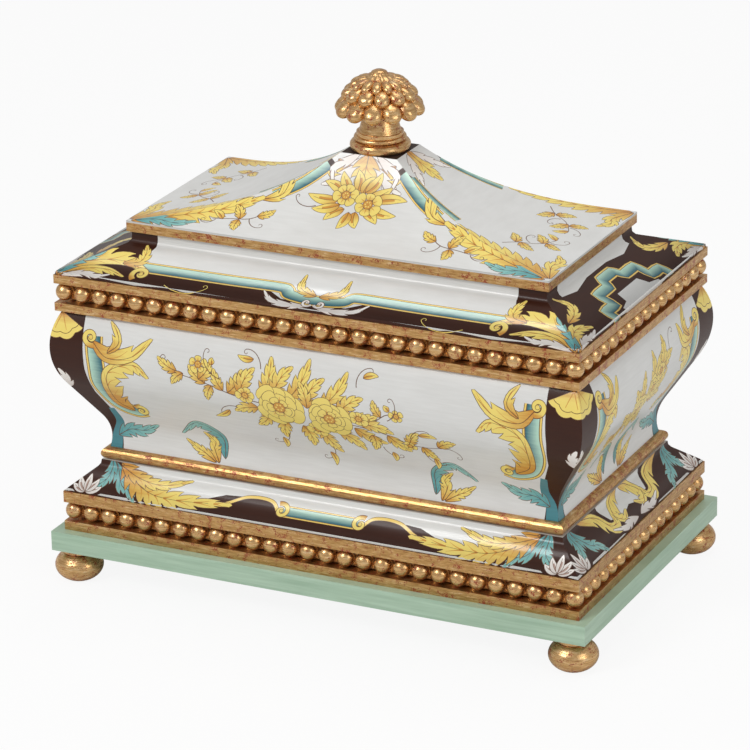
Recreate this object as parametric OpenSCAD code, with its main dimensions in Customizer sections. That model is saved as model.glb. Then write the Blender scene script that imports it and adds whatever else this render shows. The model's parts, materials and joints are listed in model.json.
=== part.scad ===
// Painted keepsake casket: a swelling wooden body on a bead-trimmed plinth with four bun feet,
// closed by a hinged lid with a swept roof and a carved, gilded finial.
// Millimetres. X runs along the front, Y from front to back and Z up. The origin is on the
// ground under the middle of the box. An inset is measured inwards from the base board's edge.

/* [Base board and feet] */
// Length of the base board
base_len = 340; // [310:1:420]
// Depth of the base board
base_depth = 203.5; // [190:0.5:280]
// Thickness of the base board
base_h = 12; // [8:0.5:20]
// Height of a foot
foot_h = 19.5; // [15:0.5:30]
// Radius of the bun of a foot
foot_r = 14.4; // [11:0.1:18]
// Radius of the neck of a foot
foot_neck_r = 9.3; // [6:0.1:10.5]
// Height of the neck of a foot
foot_neck_h = 2.5; // [1:0.1:5]
// Inset of the middle of a foot
foot_inset = 11.6; // [9:0.1:25]
// Radius of the screw that holds a foot
foot_screw_r = 2.5; // [1.5:0.1:4]
// Depth of that screw in the foot
foot_screw_hold = 11; // [6:0.5:12]

/* [Plinth] */
// Inset of every gilt fillet
fillet_inset = 6; // [4:0.1:8]
// Height of the fillet on the base board
plinth_foot_fillet_h = 5.6; // [4:0.1:8]
// Height of the fillet over the plinth's beads
plinth_top_fillet_h = 7; // [4:0.1:9]
// Height of the painted foot cove
foot_cove_h = 16.7; // [15:0.1:26]
// Inset of the foot cove's lower edge
foot_cove_out = 6.9; // [6.2:0.1:9]
// Inset of the foot cove's upper edge
foot_cove_in = 23.2; // [20:0.1:24]
// Upright edge at the bottom of the foot cove
foot_cove_edge = 0.8; // [0.4:0.1:2]
// Radius of the bend at the top of the foot cove
foot_cove_r = 5; // [3:0.1:6]

/* [Beads] */
// Radius of a bead
bead_r = 5.3; // [4:0.1:6.5]
// Clearance above and below a bead
bead_clear = 0.55; // [0.3:0.05:1.5]
// How far the beads stand out past the fillets
bead_proud = 0.7; // [0:0.1:1.5]
// Least gap between two beads
bead_gap = 1.1; // [0.4:0.1:3]
// Thickness of the strip that carries the beads
bead_strip_t = 2.9; // [2.2:0.1:3.5]

/* [Body] */
// Height of the swelling body
body_h = 96.1; // [90:0.1:130]
// Inset of the body at its widest
bulge_inset = 3.15; // [2.5:0.05:8]
// Distance of the widest place below the body's top
bulge_drop = 22.5; // [16:0.1:30]
// Radius of the swelling
bulge_r = 42.5; // [36:0.5:50]
// Inset of the body at its waist
waist_inset = 28.2; // [26:0.1:31]
// Height of the waist above the body's bottom
waist_rise = 14.4; // [12:0.1:20]
// Radius of the hollow at the waist
waist_r = 25.5; // [20:0.5:32]
// Height of the gilt half-round moulding at the waist
waist_bead_h = 7.2; // [5:0.1:9]
// Inset of that moulding's front
waist_bead_inset = 22.7; // [20.5:0.1:23.2]
// Inset of the well inside the walls
well_inset = 40; // [38:0.5:44]

/* [Lining] */
// Thickness of the floor board
floor_h = 3; // [2:0.5:6]
// Thickness of the fabric-covered lining boards
lining_t = 2; // [1.5:0.1:4]
// Thickness of the floor pad
floor_pad_h = 2; // [1:0.1:4]
// Distance of the lining's upper edge below the walls' top
lining_drop = 1; // [0.5:0.1:5]
// Thickness of the board that closes the lid from inside
ceiling_h = 3; // [2:0.1:4]
// Thickness of the padded fabric under that board
ceiling_pad_h = 4; // [2:0.1:6]
// Width of the ledge that the lid's inner board is glued to
ceiling_ledge = 6; // [3:0.5:8]

/* [Lid] */
// Height of the gilt fillet at the lid's lower edge
lid_fillet_h = 5; // [4:0.1:8]
// Height of the gilt fillet over the lid's beads
lid_top_fillet_h = 5.3; // [4:0.1:8]
// Height of the painted lid cove
lid_cove_h = 20.6; // [18:0.1:30]
// Inset of the lid cove's lower edge
lid_cove_out = 6.9; // [6.2:0.1:9]
// Inset of the lid cove's neck
neck_inset = 40; // [38.5:0.1:42]
// Upright edge at the bottom of the lid cove
lid_cove_edge = 1.8; // [0.5:0.1:2.5]
// Upright height of the neck over the lid cove's bend
neck_h = 6.4; // [5:0.1:8]
// Radius of the bend at the neck
lid_cove_r = 4; // [2:0.1:6]
// Thickness of the wood at the neck
neck_t = 9; // [6:0.5:12]

/* [Roof] */
// Inset of the gilt rim under the roof
rim_inset = 37.6; // [36:0.1:38]
// Height of the gilt rim under the roof
rim_h = 5.3; // [4:0.1:8]
// Width of the gilt rim's wood
rim_w = 13; // [10:0.5:15]
// Upright edge at the bottom of the roof
roof_edge = 1.1; // [0.5:0.1:2]
// Rise of the roof from its edge to the finial
roof_rise = 41; // [30:0.5:55]
// Share of the rise that is an even slope; the rest sweeps up towards the finial
roof_slope_share = 0.415; // [0.3:0.005:0.6]
// Half the length of the flat under the finial
roof_flat_x = 17.5; // [17:0.1:20]
// Half the depth of the flat under the finial
roof_flat_y = 15.3; // [14:0.1:18]
// Thickness of the roof boards, measured upright
roof_t = 7; // [5:0.5:9]
// Height of the block that the finial is bolted to
boss_h = 14; // [10:0.5:16]

/* [Finial] */
// Radius of the finial's lowest ring
ring_r = 17.6; // [15:0.1:20]
// Height of that ring
ring_h = 6; // [4:0.1:8]
// Radius of the cushion over the ring
cushion_r = 15.2; // [13.5:0.1:17]
// Height of the cushion
cushion_h = 3; // [2:0.1:5]
// Radius of the collar over the cushion
collar_r = 13.6; // [12.5:0.1:14.5]
// Height of the collar
collar_h = 2; // [1:0.1:4]
// Radius of the neck's lower end
neck_low_r = 12.3; // [11:0.1:13]
// Radius of the neck's upper end
neck_high_r = 9.6; // [8:0.1:11]
// Height of the neck
finial_neck_h = 10; // [8:0.1:14]
// Petals in each row
petals = 12; // [12:1:12]
// Height of the lower petals' middle over the roof
petal_low_z = 26.5; // [25.8:0.1:30]
// Radius of the ring that the lower petals stand on
petal_low_ring = 20.6; // [20.4:0.1:22]
// Radius of a lower petal
petal_low_r = 5.2; // [4.6:0.1:5.2]
// Half the height of a lower petal
petal_low_h = 8.5; // [7:0.1:8.5]
// Height of the upper petals' middle over the lower ones'
petal_high_rise = 10; // [10:0.1:11]
// Radius of the ring that the upper petals stand on
petal_high_ring = 16.2; // [15.8:0.1:16.4]
// Radius of an upper petal
petal_high_r = 4; // [3.4:0.1:4]
// Half the height of an upper petal
petal_high_h = 5; // [4:0.1:5]
// Radius of the fluted cap
cap_r = 14.5; // [12.5:0.1:15.5]
// Height of the cap's dome
cap_h = 3.9; // [3:0.1:6]
// Radius of the button on the cap
button_r = 4; // [3:0.1:5]
// Height of the button
button_h = 1.6; // [1:0.1:3]
// Radius of the threaded rod through the finial
stud_r = 3; // [2:0.1:3.5]
// Depth of that rod in the finial
stud_hold = 30; // [22:0.5:34]

/* [Hinges] */
// Distance of a hinge's middle from the box's middle
hinge_x = 90; // [50:1:110]
// Length of a hinge
hinge_len = 40; // [30:1:60]
// Width of a hinge leaf from the pin
leaf_w = 22; // [20:0.5:26]
// Thickness of a hinge leaf
leaf_t = 1; // [0.8:0.1:1.5]
// Radius of the hinge knuckles
knuckle_r = 2; // [1.9:0.1:2.6]
// Radius of the hinge pin
pin_r = 0.9; // [0.7:0.05:1.1]
// Radius of a hinge screw
screw_r = 1.3; // [1:0.1:1.5]
// Length of a hinge screw
screw_len = 12; // [8:0.5:14]
// Distance of the hinge screws from the pin
screw_back = 15.5; // [15:0.5:17]

/* [Fits] */
// Clearance around parts that are set in by hand
fit = 0.2; // [0.1:0.05:0.3]
// Clearance around screws, rods and pins
bore_fit = 0.05; // [0.03:0.01:0.08]
// Clearance between the knuckles and the wood, and between the knuckles
turn_fit = 0.3; // [0.25:0.05:0.5]
// Gap between the two leaves of a closed hinge
leaf_gap = 0.2; // [0.1:0.05:0.4]

/* [Hidden] */
$fn = 48;

// Half sizes of the base board, which every inset counts from
half_x = base_len / 2;
half_y = base_depth / 2;

// Heights of the tiers above the ground
bead_band = 2 * (bead_r + bead_clear);
z_plinth = foot_h + base_h;
z_plinth_beads = z_plinth + plinth_foot_fillet_h;
z_plinth_top = z_plinth_beads + bead_band;
z_foot_cove = z_plinth_top + plinth_top_fillet_h;
z_body = z_foot_cove + foot_cove_h;
z_seam = z_body + body_h;
z_lid_beads = z_seam + lid_fillet_h;
z_lid_top = z_lid_beads + bead_band;
z_lid_cove = z_lid_top + lid_top_fillet_h;
z_rim = z_lid_cove + lid_cove_h;
z_roof = z_rim + rim_h;
z_finial = z_roof + roof_edge + roof_rise;

// Steps in a bend and along the roof's sweep
bend_steps = 8;
roof_steps = 16;
// A cut reaches this far past the face that it opens
past = 1;

// Points on a circle's arc between two angles
function arc(c, r, a, b, n = bend_steps) =
    [for (i = [0:n]) let (t = a + (b - a) * i / n) c + r * [cos(t), sin(t)]];

// Outline of a rectangle between two insets
function bar(outer, inner, z0, z1) = [[-outer, z0], [-outer, z1], [-inner, z1], [-inner, z0]];

// Outline of a cove: an upright edge, a slope, a bend and an upright neck
function cove(outer, inner, back, edge, corner, r, h) =
    let (
        slope = atan2(corner - edge, inner - outer),
        turn = 90 - slope,
        centre = [r - inner, corner + r * tan(turn / 2)]
    )
    concat([[-outer, 0], [-outer, edge]], arc(centre, r, 180 + turn, 180), [[-inner, h], [-back, h], [-back, 0]]);

// The foot cove's bend starts this far below its top
foot_cove_corner = foot_cove_h - 2.9;
foot_cove_outline = cove(
    foot_cove_out, foot_cove_in, well_inset, foot_cove_edge, foot_cove_corner, foot_cove_r, foot_cove_h);
lid_cove_outline = cove(
    lid_cove_out, neck_inset, neck_inset + neck_t, lid_cove_edge, lid_cove_h - neck_h, lid_cove_r, lid_cove_h);

// The body's outline: a swelling arc and a hollow arc with the line that touches both
bulge_c = [-bulge_inset - bulge_r, body_h - bulge_drop];
waist_c = [waist_r - waist_inset, waist_rise];
radii = bulge_r + waist_r;
body_lean = acos(-radii / norm(bulge_c - waist_c))
    - atan2(bulge_c[1] - waist_c[1], bulge_c[0] - waist_c[0]);
top_angle = asin(bulge_drop / bulge_r);
seat_angle = asin((waist_rise - waist_bead_h) / waist_r);
waist_seat = waist_inset - waist_r * (1 - cos(seat_angle));
body_outline = concat(
    [[-well_inset, 0], [-waist_seat, 0]],
    arc(waist_c, waist_r, 180 + seat_angle, 180 - body_lean),
    arc(bulge_c, bulge_r, -body_lean, top_angle, 2 * bend_steps),
    [[-well_inset, body_h]]
);

// The gilt half-round at the waist, with its flat back on the body
waist_bead_r = waist_bead_h / 2;
waist_bead_outline = concat(
    [[-waist_seat, 0]],
    arc([-waist_bead_inset - waist_bead_r, waist_bead_r], waist_bead_r, -90, 90),
    [[-waist_seat, waist_bead_h]]
);

// Middle line of the beads, the face of the wood behind them and the number of steps along a side
bead_inset = fillet_inset - bead_proud + bead_r;
core_inset = bead_inset + bead_r + fit;
beads_x = floor(2 * (half_x - bead_inset) / (2 * bead_r + bead_gap));
beads_y = floor(2 * (half_y - bead_inset) / (2 * bead_r + bead_gap));

// Hinge pin, and the z range of the two leaves around the seam
pin_y = half_y - fillet_inset + turn_fit + knuckle_r;
pocket_h = leaf_t + leaf_gap / 2;
knuckle_len = hinge_len / 3;
screw_pitch = hinge_len / 3;
screw_head_r = 1.8 * screw_r;
screw_head_h = 0.9 * screw_r;

// Foot bun: an ellipse cut flat where it stands and where its neck starts
foot_flat_angle = 58;
bun_h = foot_h - foot_neck_h;

// Roof height at a share of the way from its edge to the flat under the finial
function roof_z(t) =
    roof_edge + roof_rise * (roof_slope_share * t + (1 - roof_slope_share) * pow(t, 3));
roof_table = [for (i = [0:roof_steps]) [roof_z(i / roof_steps), i / roof_steps]];
roof_seat = lookup(roof_t, roof_table);
function roof_outline(reach) = concat(
    [[-rim_inset, 0]],
    [for (p = roof_table) [-rim_inset - reach * p[1], p[0]]],
    [for (i = [roof_steps:-1:0]) if (roof_table[i][0] > roof_t + 0.3)
        [-rim_inset - reach * roof_table[i][1], roof_table[i][0] - roof_t]],
    [[-rim_inset - reach * roof_seat, 0]]
);
roof_reach_x = half_x - rim_inset - roof_flat_x;
roof_reach_y = half_y - rim_inset - roof_flat_y;

// Places in the finial, above the roof's flat
petal_high_z = petal_low_z + petal_high_rise;
low_seat = 0.83 * petal_low_r;
high_seat = 0.82 * petal_high_r;
crown_low_r = (petal_low_ring - low_seat) / cos(180 / petals);
crown_high_r = (petal_high_ring - high_seat) / cos(180 / petals);
stem_h = ring_h + cushion_h + collar_h + finial_neck_h;
crown_split = petal_high_z - petal_high_h - fit;
crown_top = petal_high_z + 0.7 * petal_high_h;
cap_step = petal_high_z + petal_high_h + fit;
cap_waist_r = petal_high_ring - petal_high_r;

cream = "ivory";
gilt = "goldenrod";
umber = "#3a2a26";
celadon = "#9dbfa3";
velvet = "#27534b";
brass = "#b5924c";
steel = "#8d9095";

// Length of moulding with mitred ends. Side 0 is the front, 1 the right, 2 the back, 3 the left.
module rail(outline, side, z) {
    long = side % 2 == 0;
    across = long ? half_y : half_x;
    along = long ? half_x : half_y;
    reach = well_inset + neck_t + rim_w;
    rotate([0, 0, long ? (side == 0 ? 180 : 0) : (side == 1 ? -90 : 90)])
        translate([0, 0, z])
            intersection() {
                rotate([90, 0, 90])
                    linear_extrude(2 * along, center = true)
                        polygon([for (p = outline) [across + p[0], p[1]]]);
                linear_extrude(4 * body_h, center = true)
                    polygon([
                        [-along, across], [along, across],
                        [along - reach, across - reach], [reach - along, across - reach]
                    ]);
            }
}

// Frame of four mitred lengths
module frame(outline, z) {
    for (side = [0:3]) rail(outline, side, z);
}

// Strip of beads on its backing. The corner beads belong to the long strips.
module bead_strip(side, z) {
    long = side % 2 == 0;
    across = long ? half_y : half_x;
    along = long ? half_x : half_y;
    count = long ? beads_x : beads_y;
    span = 2 * (along - bead_inset);
    corner = long ? 0 : 1;
    bar_half = along - core_inset + (long ? bead_strip_t : 0);
    rotate([0, 0, long ? (side == 0 ? 180 : 0) : (side == 1 ? -90 : 90)])
        translate([0, 0, z + bead_band / 2])
            union() {
                translate([-bar_half, across - core_inset, -bead_r])
                    cube([2 * bar_half, bead_strip_t, 2 * bead_r]);
                for (i = [corner:count - corner])
                    translate([-span / 2 + span * i / count, across - bead_inset, 0])
                        sphere(bead_r);
            }
}

module at_feet(sx, sy) {
    translate([sx * (half_x - foot_inset), sy * (half_y - foot_inset), 0]) children();
}

module at_hinges() {
    for (s = [-1, 1]) translate([s * hinge_x, pin_y, z_seam]) children();
}

// Screw with a countersunk head whose top lies at the origin, pointing down
module screw(extra = 0) {
    translate([0, 0, -screw_head_h]) cylinder(h = screw_head_h, r1 = screw_r + extra, r2 = screw_head_r + extra);
    translate([0, 0, -screw_len - extra]) cylinder(h = screw_len + extra - screw_head_h, r = screw_r + extra);
}

module leaf_screws(extra = 0) {
    at_hinges()
        for (i = [-1:1])
            translate([i * screw_pitch, -screw_back, -leaf_gap / 2]) screw(extra);
}

// Pockets in the wood for one leaf of each hinge, below the seam
module leaf_pockets() {
    at_hinges()
        translate([-hinge_len / 2 - fit, -leaf_w - fit, -pocket_h])
            cube([hinge_len + 2 * fit, leaf_w + 2 * fit + past, pocket_h + past]);
}

// Leaf below the seam: outer knuckles when outer is true, otherwise the middle one
module leaf(outer) {
    gap = turn_fit / 2;
    difference() {
        union() {
            translate([-hinge_len / 2, -leaf_w, -pocket_h])
                cube([hinge_len, leaf_w - knuckle_r - turn_fit, leaf_t]);
            for (i = outer ? [-1, 1] : [0])
                translate([(i - 0.5) * knuckle_len, 0, 0]) {
                    lo = i == -1 ? 0 : gap;
                    hi = i == 1 ? 0 : gap;
                    translate([lo, 0, 0]) rotate([0, 90, 0]) cylinder(h = knuckle_len - lo - hi, r = knuckle_r);
                    translate([lo, -leaf_w + past, -pocket_h])
                        cube([knuckle_len - lo - hi, leaf_w - past, leaf_t]);
                }
        }
        rotate([0, 90, 0])
            cylinder(h = hinge_len + 2 * past, r = pin_r + (outer ? 0 : bore_fit), center = true);
        for (i = [-1:1])
            translate([i * screw_pitch, -screw_back, -leaf_gap / 2]) screw(bore_fit);
    }
}

module base_board() {
    color(celadon)
        difference() {
            translate([-half_x, -half_y, foot_h]) cube([base_len, base_depth, base_h]);
            for (sx = [-1, 1], sy = [-1, 1])
                at_feet(sx, sy) foot_screw(bore_fit);
        }
}

module foot(sx, sy) {
    color(gilt)
        at_feet(sx, sy)
            difference() {
                rotate_extrude()
                    polygon(concat(
                        [[0, 0]],
                        [for (i = [-bend_steps:bend_steps])
                            let (a = foot_flat_angle * i / bend_steps)
                            [foot_r * cos(a), bun_h / 2 * (1 + sin(a) / sin(foot_flat_angle))]],
                        [[min(foot_neck_r, foot_r * cos(foot_flat_angle) + foot_neck_h), bun_h],
                         [foot_neck_r, bun_h + foot_neck_h / 2], [foot_neck_r, foot_h], [0, foot_h]]
                    ));
                foot_screw(bore_fit);
            }
}

// Double-ended screw of one foot: half in the foot, half in the base board
module foot_screw(extra = 0) {
    translate([0, 0, foot_h - foot_screw_hold - extra])
        cylinder(h = foot_screw_hold + 0.75 * base_h + 2 * extra, r = foot_screw_r + extra);
}

module foot_screws() {
    color(steel)
        for (sx = [-1, 1], sy = [-1, 1]) at_feet(sx, sy) foot_screw();
}

module plinth_lower_fillet() {
    color(gilt) frame(bar(fillet_inset, well_inset, 0, plinth_foot_fillet_h), z_plinth);
}

module plinth_bead_core() {
    color(umber) frame(bar(core_inset, well_inset, 0, bead_band), z_plinth_beads);
}

module plinth_upper_fillet() {
    color(gilt) frame(bar(fillet_inset, well_inset, 0, plinth_top_fillet_h), z_plinth_top);
}

module foot_cove(side) {
    color(cream) rail(foot_cove_outline, side, z_foot_cove);
}

module waist_moulding() {
    color(gilt) frame(waist_bead_outline, z_body);
}

module body_wall(side) {
    color(cream)
        difference() {
            rail(body_outline, side, z_body);
            if (side == 2) {
                leaf_pockets();
                leaf_screws(bore_fit);
            }
        }
}

module floor_board() {
    edge = well_inset + fit;
    color(umber)
        translate([edge - half_x, edge - half_y, z_plinth])
            cube([2 * (half_x - edge), 2 * (half_y - edge), floor_h]);
}

module floor_pad() {
    edge = well_inset + lining_t + fit;
    color(velvet)
        translate([edge - half_x, edge - half_y, z_plinth + floor_h])
            cube([2 * (half_x - edge), 2 * (half_y - edge), floor_pad_h]);
}

module case_lining() {
    floor_top = z_plinth + floor_h;
    color(velvet)
        frame(bar(well_inset, well_inset + lining_t, 0, z_seam - lining_drop - floor_top), floor_top);
}

module hinge_case_leaves() {
    color(brass) at_hinges() leaf(true);
}

module hinge_pins() {
    color(steel) at_hinges() rotate([0, 90, 0]) cylinder(h = hinge_len, r = pin_r, center = true);
}

module hinge_case_screws() {
    color(brass) leaf_screws();
}

// Turns what lies below the seam into its mirror image above it
module above_seam() {
    translate([0, 0, z_seam]) mirror([0, 0, 1]) translate([0, 0, -z_seam]) children();
}

module lid_lower_fillet() {
    color(gilt)
        difference() {
            frame(bar(fillet_inset, well_inset, 0, lid_fillet_h), z_seam);
            above_seam() {
                leaf_pockets();
                leaf_screws(bore_fit);
            }
        }
}

module lid_bead_core() {
    color(umber)
        difference() {
            frame(bar(core_inset, well_inset, 0, bead_band), z_lid_beads);
            above_seam() leaf_screws(bore_fit);
        }
}

module lid_upper_fillet() {
    color(gilt) frame(bar(fillet_inset, well_inset + ceiling_ledge, 0, lid_top_fillet_h), z_lid_top);
}

module lid_cove(side) {
    color(cream) rail(lid_cove_outline, side, z_lid_cove);
}

module ceiling_board() {
    edge = well_inset + fit;
    color(umber)
        translate([edge - half_x, edge - half_y, z_lid_top - ceiling_h])
            cube([2 * (half_x - edge), 2 * (half_y - edge), ceiling_h]);
}

module ceiling_pad() {
    edge = well_inset + 2 * fit;
    color(velvet)
        translate([edge - half_x, edge - half_y, z_lid_top - ceiling_h - ceiling_pad_h])
            cube([2 * (half_x - edge), 2 * (half_y - edge), ceiling_pad_h]);
}

module roof_rim() {
    color(gilt) frame(bar(rim_inset, rim_inset + rim_w, 0, rim_h), z_rim);
}

// One face of the roof. Its ends follow the hips, which run straight to the finial in plan.
module roof(side) {
    long = side % 2 == 0;
    across = long ? half_y : half_x;
    along = long ? half_x : half_y;
    reach = long ? roof_reach_y : roof_reach_x;
    flat_across = long ? roof_flat_y : roof_flat_x;
    flat_along = long ? roof_flat_x : roof_flat_y;
    color(cream)
        rotate([0, 0, long ? (side == 0 ? 180 : 0) : (side == 1 ? -90 : 90)])
            translate([0, 0, z_roof])
                intersection() {
                    rotate([90, 0, 90])
                        linear_extrude(2 * along, center = true)
                            polygon([for (p = roof_outline(reach)) [across + p[0], p[1]]]);
                    linear_extrude(2 * roof_rise)
                        polygon([
                            [rim_inset - along, across - rim_inset], [along - rim_inset, across - rim_inset],
                            [flat_along, flat_across], [-flat_along, flat_across]
                        ]);
                }
}

module rod_bore() {
    translate([0, 0, z_finial - boss_h - past])
        cylinder(h = boss_h + stud_hold + past + bore_fit, r = stud_r + bore_fit);
}

module finial_block() {
    color(umber)
        difference() {
            translate([-roof_flat_x, -roof_flat_y, z_finial - boss_h])
                cube([2 * roof_flat_x, 2 * roof_flat_y, boss_h]);
            rod_bore();
        }
}

// Turned stem: a half-round ring, a cushion, a collar and a tapering neck
module finial_stem() {
    quirk = ring_r - cushion_r;
    color(gilt)
        difference() {
            translate([0, 0, z_finial])
                rotate_extrude()
                    polygon(concat(
                        [[0, 0]],
                        arc([ring_r - ring_h / 2, ring_h / 2], ring_h / 2, -90, 90),
                        [[cushion_r - quirk / 2, ring_h]],
                        arc([cushion_r - cushion_h / 2, ring_h + cushion_h / 2], cushion_h / 2, -60, 90),
                        [[collar_r, ring_h + cushion_h], [collar_r, ring_h + cushion_h + collar_h],
                         [neck_low_r, ring_h + cushion_h + collar_h], [neck_high_r, stem_h], [0, stem_h]]
                    ));
            rod_bore();
        }
}

// Carved core of the crown: two many-sided drums whose flats carry the petals
module finial_crown() {
    color(gilt)
        difference() {
            translate([0, 0, z_finial]) {
                translate([0, 0, stem_h])
                    cylinder(h = crown_split - stem_h, r = crown_low_r, $fn = petals);
                rotate([0, 0, 180 / petals])
                    translate([0, 0, crown_split - past])
                        cylinder(h = crown_top - crown_split + past, r = crown_high_r, $fn = petals);
            }
            rod_bore();
        }
}

// Row of petals, each cut flat where it sits on the crown
module petal_row(ring, r, h, seat, z, turn) {
    color(gilt)
        translate([0, 0, z_finial + z])
            for (i = [0:petals - 1])
                rotate([0, 0, turn + 360 * i / petals])
                    translate([ring, 0, 0])
                        difference() {
                            rotate_extrude()
                                polygon([for (i = [-bend_steps:bend_steps])
                                    let (a = 90 * i / bend_steps) [max(0, r * cos(a)), h * sin(a)]]);
                            translate([-seat - 2 * r, -2 * r, -2 * h]) cube([2 * r, 4 * r, 4 * h]);
                        }
}

module finial_lower_petals() {
    petal_row(petal_low_ring, petal_low_r, petal_low_h, low_seat, petal_low_z, 180 / petals);
}

module finial_upper_petals() {
    petal_row(petal_high_ring, petal_high_r, petal_high_h, high_seat, petal_high_z, 0);
}

// Cap over the upper petals, with its button
module finial_cap() {
    color(gilt)
        translate([0, 0, z_finial])
            rotate_extrude()
                polygon(concat(
                    [[0, crown_top], [cap_waist_r, crown_top], [cap_waist_r, cap_step]],
                    [for (i = [0:bend_steps])
                        let (a = 75 * i / bend_steps) [cap_r * cos(a), cap_step + cap_h * sin(a) / sin(75)]],
                    [[button_r, cap_step + cap_h + button_h / 2], [0.6 * button_r, cap_step + cap_h + button_h],
                     [0, cap_step + cap_h + button_h]]
                ));
}

module finial_rod() {
    color(steel)
        translate([0, 0, z_finial - boss_h - 3 * stud_r])
            cylinder(h = boss_h + 3 * stud_r + stud_hold, r = stud_r);
}

module finial_washer() {
    color(steel)
        translate([0, 0, z_finial - boss_h - stud_r / 2])
            difference() {
                cylinder(h = stud_r / 2, r = 2.6 * stud_r);
                translate([0, 0, -past]) cylinder(h = stud_r / 2 + 2 * past, r = stud_r + bore_fit);
            }
}

module finial_nut() {
    color(steel)
        translate([0, 0, z_finial - boss_h - 2 * stud_r])
            difference() {
                cylinder(h = 1.5 * stud_r, r = 1.9 * stud_r, $fn = 6);
                translate([0, 0, -past]) cylinder(h = 2 * stud_r + 2 * past, r = stud_r + bore_fit);
            }
}

module hinge_lid_leaves() {
    color(brass) above_seam() at_hinges() leaf(false);
}

module hinge_lid_screws() {
    color(brass) above_seam() leaf_screws();
}

base_board();
foot(-1, -1);  // foot_front_left
foot(1, -1);  // foot_front_right
foot(-1, 1);  // foot_back_left
foot(1, 1);  // foot_back_right
foot_screws();
plinth_lower_fillet();
plinth_bead_core();
color(gilt) bead_strip(0, z_plinth_beads);  // plinth_beads_front
color(gilt) bead_strip(1, z_plinth_beads);  // plinth_beads_right
color(gilt) bead_strip(2, z_plinth_beads);  // plinth_beads_back
color(gilt) bead_strip(3, z_plinth_beads);  // plinth_beads_left
plinth_upper_fillet();
foot_cove(0);  // foot_cove_front
foot_cove(1);  // foot_cove_right
foot_cove(2);  // foot_cove_back
foot_cove(3);  // foot_cove_left
waist_moulding();
body_wall(0);  // body_wall_front
body_wall(1);  // body_wall_right
body_wall(2);  // body_wall_back
body_wall(3);  // body_wall_left
floor_board();
floor_pad();
case_lining();
hinge_case_leaves();
hinge_pins();
hinge_case_screws();
lid_lower_fillet();
lid_bead_core();
color(gilt) bead_strip(0, z_lid_beads);  // lid_beads_front
color(gilt) bead_strip(1, z_lid_beads);  // lid_beads_right
color(gilt) bead_strip(2, z_lid_beads);  // lid_beads_back
color(gilt) bead_strip(3, z_lid_beads);  // lid_beads_left
lid_upper_fillet();
lid_cove(0);  // lid_cove_front
lid_cove(1);  // lid_cove_right
lid_cove(2);  // lid_cove_back
lid_cove(3);  // lid_cove_left
ceiling_board();
ceiling_pad();
roof_rim();
roof(0);  // roof_front
roof(1);  // roof_right
roof(2);  // roof_back
roof(3);  // roof_left
finial_block();
finial_stem();
finial_crown();
finial_lower_petals();
finial_upper_petals();
finial_cap();
finial_rod();
finial_washer();
finial_nut();
hinge_lid_leaves();
hinge_lid_screws();
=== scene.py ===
import json
import math

import bpy
import numpy as np
from mathutils import Matrix, Vector
from mathutils.geometry import delaunay_2d_cdt


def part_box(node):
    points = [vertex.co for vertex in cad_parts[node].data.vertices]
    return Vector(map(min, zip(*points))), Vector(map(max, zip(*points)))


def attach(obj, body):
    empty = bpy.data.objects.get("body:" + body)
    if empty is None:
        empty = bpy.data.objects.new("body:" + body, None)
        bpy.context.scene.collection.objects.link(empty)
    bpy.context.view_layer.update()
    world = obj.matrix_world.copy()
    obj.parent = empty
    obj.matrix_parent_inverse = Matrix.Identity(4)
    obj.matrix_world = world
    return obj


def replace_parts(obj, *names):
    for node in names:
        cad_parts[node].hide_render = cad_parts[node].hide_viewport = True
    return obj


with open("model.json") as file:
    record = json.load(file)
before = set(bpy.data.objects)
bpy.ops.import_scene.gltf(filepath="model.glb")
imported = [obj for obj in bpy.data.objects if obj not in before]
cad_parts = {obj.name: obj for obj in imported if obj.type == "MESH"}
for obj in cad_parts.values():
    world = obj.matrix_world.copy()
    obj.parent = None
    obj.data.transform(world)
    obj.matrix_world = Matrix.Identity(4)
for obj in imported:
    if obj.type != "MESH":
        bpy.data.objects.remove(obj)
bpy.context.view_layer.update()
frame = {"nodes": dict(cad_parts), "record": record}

mm = 0.001
tiny = 1e-9  # keeps a zero length from being divided by
print("frame loaded")


def boxMm(node):
    low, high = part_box(node)
    return np.array(low) / mm, np.array(high) / mm


# Where the solids put the painted panels, in millimetres
half = boxMm("base_board")[1][:2]  # half length and half depth that the insets count from
footCoveZ = boxMm("foot_cove_front")[0][2]
bodyZ = boxMm("body_wall_front")[0][2]
lidCoveZ = boxMm("lid_cove_front")[0][2]
roofZ = boxMm("roof_front")[0][2]

# Profiles in millimetres: insets count from the board's edge, heights from the panel's foot
bodyShape = {"height": 96.1, "bulgeInset": 3.15, "bulgeDrop": 22.5, "bulgeR": 42.5,
             "waistInset": 28.2, "waistRise": 14.4, "waistR": 25.5, "beadH": 7.2}
lidCove = {"outer": 6.9, "inner": 40, "edge": 1.8, "corner": 14.2, "r": 4, "height": 20.6}
footCove = {"outer": 6.9, "inner": 23.2, "edge": 0.8, "corner": 13.8, "r": 5, "height": 16.7}
roofShape = {"rimInset": 37.6, "edge": 1.1, "rise": 41, "straight": 0.415}
roofFlat = (17.5, 15.3)  # half length and half depth of the flat under the finial
coveGap = 0.05  # keeps the ends of a cove's film off the fillets
profilePoints = {"waist": 24, "bulge": 48, "cove": 10, "roof": 60}


def arcPoints(centre, radius, start, stop, count):
    angles = np.radians(np.linspace(start, stop, count))
    return np.stack([centre[0] + radius * np.cos(angles), centre[1] + radius * np.sin(angles)], 1)


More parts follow.
